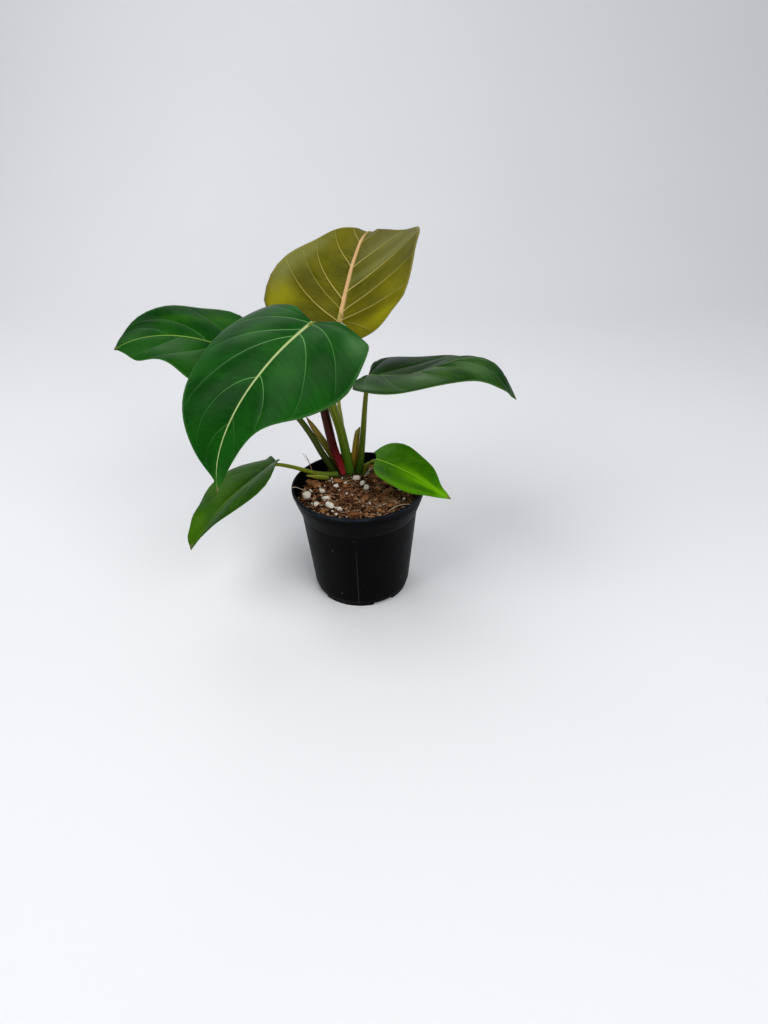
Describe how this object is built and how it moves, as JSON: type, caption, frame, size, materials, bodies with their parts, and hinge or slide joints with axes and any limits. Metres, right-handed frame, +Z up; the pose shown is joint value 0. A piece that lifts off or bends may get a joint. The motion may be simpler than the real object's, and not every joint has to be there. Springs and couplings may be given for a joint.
{
  "type": "potted philodendron",
  "caption": "Young potted philodendron: heart-shaped leaves on long stalks rising from one crown in bark and perlite mix, in a plain black nursery pot with a flared collar and rolled lip.",
  "frame": {"origin": "Centre of the pot's underside, on the flat pad and feet that it stands on, at Z = 0.", "axes": "+Z is up, along the pot's axis. -Y is the plant's front, the side the large drooping leaf hangs over. +X is to the right when the plant is seen from its front."},
  "size_m": [0.364, 0.2732, 0.3345],
  "materials": {
    "pot_plastic": "satin",
    "potting_mix": "matte",
    "bark": "matte",
    "perlite": "matte",
    "root_fibre": "matte",
    "stem": "matte",
    "stalk_green": "satin",
    "new_leaf_red": "satin",
    "sheath": "satin",
    "leaf_dark": "satin",
    "leaf_bronze": "satin",
    "leaf_young": "satin"
  },
  "bodies": {
    "root": {"nursery_pot": "pot_plastic", "potting_mix": "potting_mix", "crown": "stem", "leaf_1": "leaf_bronze", "leaf_2": "leaf_dark", "leaf_3": "leaf_dark", "leaf_4": "leaf_dark", "leaf_5": "leaf_dark", "leaf_6": "leaf_young", "petiole_1": "stalk_green", "petiole_2": "stalk_green", "petiole_3": "stalk_green", "petiole_4": "stalk_green", "petiole_5": "stalk_green", "petiole_6": "stalk_green", "new_leaf_spike": "new_leaf_red", "sheath_left": "sheath", "sheath_right": "sheath", "sheath_small": "sheath", "sheath_low": "sheath", "bark_chip_1": "bark", "bark_chip_10": "bark", "bark_chip_11": "bark", "bark_chip_2": "bark", "bark_chip_3": "bark", "bark_chip_4": "bark", "bark_chip_5": "bark", "bark_chip_6": "bark", "bark_chip_7": "bark", "bark_chip_8": "bark", "bark_chip_9": "bark", "fibre_front": "root_fibre", "fibre_left": "root_fibre", "fibre_right": "root_fibre", "hair_rear_1": "root_fibre", "hair_rear_2": "root_fibre", "perlite_1": "perlite", "perlite_10": "perlite", "perlite_11": "perlite", "perlite_12": "perlite", "perlite_13": "perlite", "perlite_2": "perlite", "perlite_3": "perlite", "perlite_4": "perlite", "perlite_5": "perlite", "perlite_6": "perlite", "perlite_7": "perlite", "perlite_8": "perlite", "perlite_9": "perlite", "root_arch": "root_fibre"}
  },
  "joints": []
}
